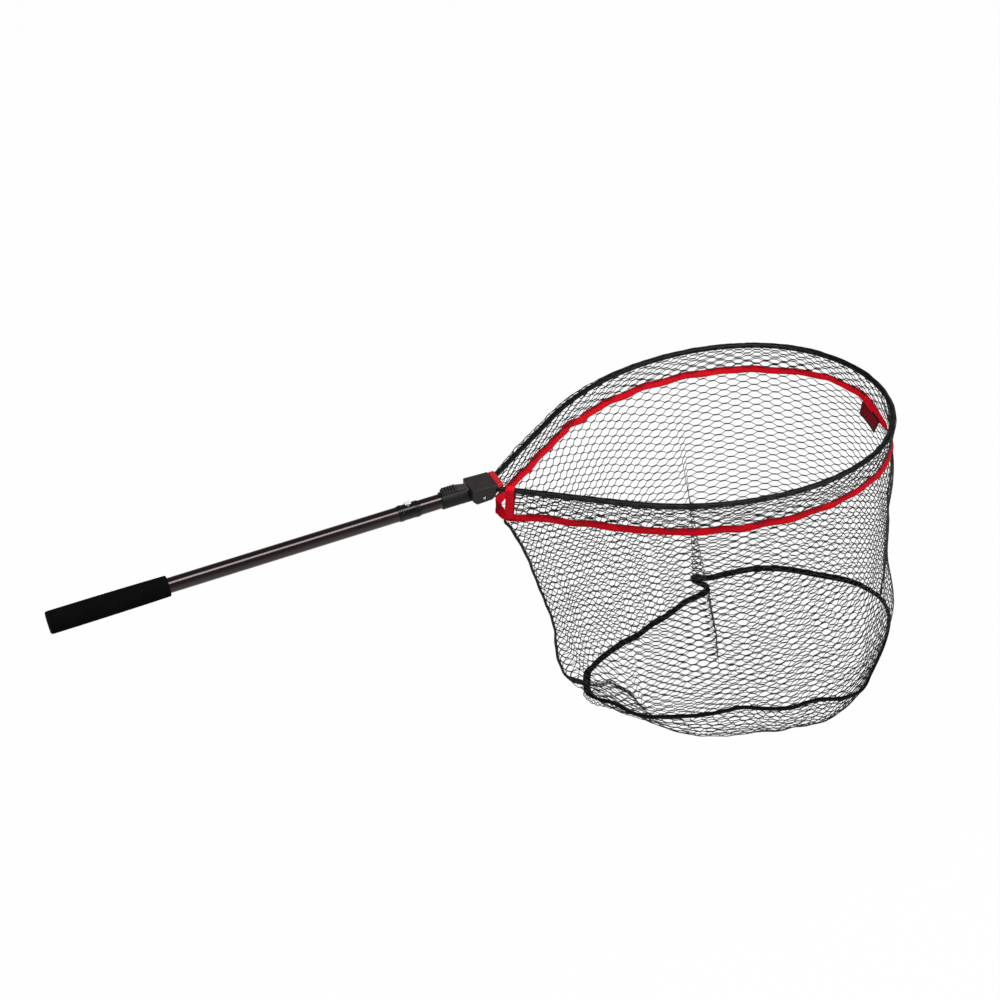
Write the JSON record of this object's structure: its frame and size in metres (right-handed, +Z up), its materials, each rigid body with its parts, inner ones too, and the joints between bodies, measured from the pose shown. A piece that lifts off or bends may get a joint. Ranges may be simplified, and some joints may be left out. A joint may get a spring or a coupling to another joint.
{
  "type": "landing net",
  "caption": "Folding landing net with a foam grip, telescopic handle, thumb-latch hinge, teardrop hoop and a deep hanging mesh bag with a red tape band.",
  "frame": {"origin": "middle of the foam grip, on the handle tube's axis, where a hand holds the net", "axes": "+X along the handle towards the hoop, +Z up out of the open net, +Y to the far side of the hoop"},
  "size_m": [1.3146, 0.4397, 0.5301],
  "materials": {
    "foam": "matte closed-cell foam",
    "rubber_trim": "matte",
    "tube": "dark gunmetal, glossy",
    "collar": "glossy black",
    "button": "pale grey",
    "moulding": "charcoal, lightly grained",
    "red_moulding": "satin red",
    "steel": "plain steel",
    "hoop": "black coated, satin",
    "net": "coated knotless mesh",
    "red_tape": "woven tape",
    "black_tape": "woven tape"
  },
  "bodies": {
    "handle": {"grip_sleeve": "foam", "butt_cap": "rubber_trim", "outer_tube": "tube", "lock_collar": "collar", "button_spring": "steel"},
    "button": {"tele_button": "button"},
    "extension": {"inner_tube": "tube", "rear_bush": "rubber_trim", "neck_tube": "tube", "hinge_socket": "moulding", "socket_grub_screw": "steel", "latch_spring": "steel"},
    "slider": {"thumb_slider": "moulding", "latch_bolt": "steel"},
    "head": {"yoke": "moulding", "yoke_front_plate": "red_moulding", "hinge_pin": "steel", "hoop_screw_near": "steel", "hoop_screw_far": "steel", "hoop_frame": "hoop", "upper_net": "net", "red_band": "red_tape", "strap_loop_near": "red_tape", "side_net_near": "net", "side_net_far": "net", "rear_seam_tape": "black_tape", "front_seam_tape": "black_tape", "base_binding": "black_tape", "base_net": "net", "label_tag": "red_tape"}
  },
  "joints": [
    {"name": "telescope", "type": "slide", "parent": "handle", "child": "extension", "axis": [1, 0, 0], "range_m": [0, 0.38]},
    {"name": "button_press", "type": "slide", "parent": "handle", "child": "button", "axis": [0, 0, -1], "range_m": [0, 0.0025], "stiffness_N_per_m": 800, "springref_m": -0.002, "deforming": ["button_spring"]},
    {"name": "latch_slide", "type": "slide", "parent": "extension", "child": "slider", "axis": [-1, 0, 0], "range_m": [0, 0.008], "stiffness_N_per_m": 500, "springref_m": -0.003, "deforming": ["latch_spring"]},
    {"name": "head_fold", "type": "hinge", "parent": "extension", "child": "head", "pos_m": [0.5526, 0, -0.0042], "axis": [0, 1, 0], "range_deg": [0, 170], "deforming": ["upper_net", "red_band", "strap_loop_near", "side_net_near", "side_net_far", "rear_seam_tape", "front_seam_tape", "base_binding", "base_net", "label_tag"]}
  ]
}
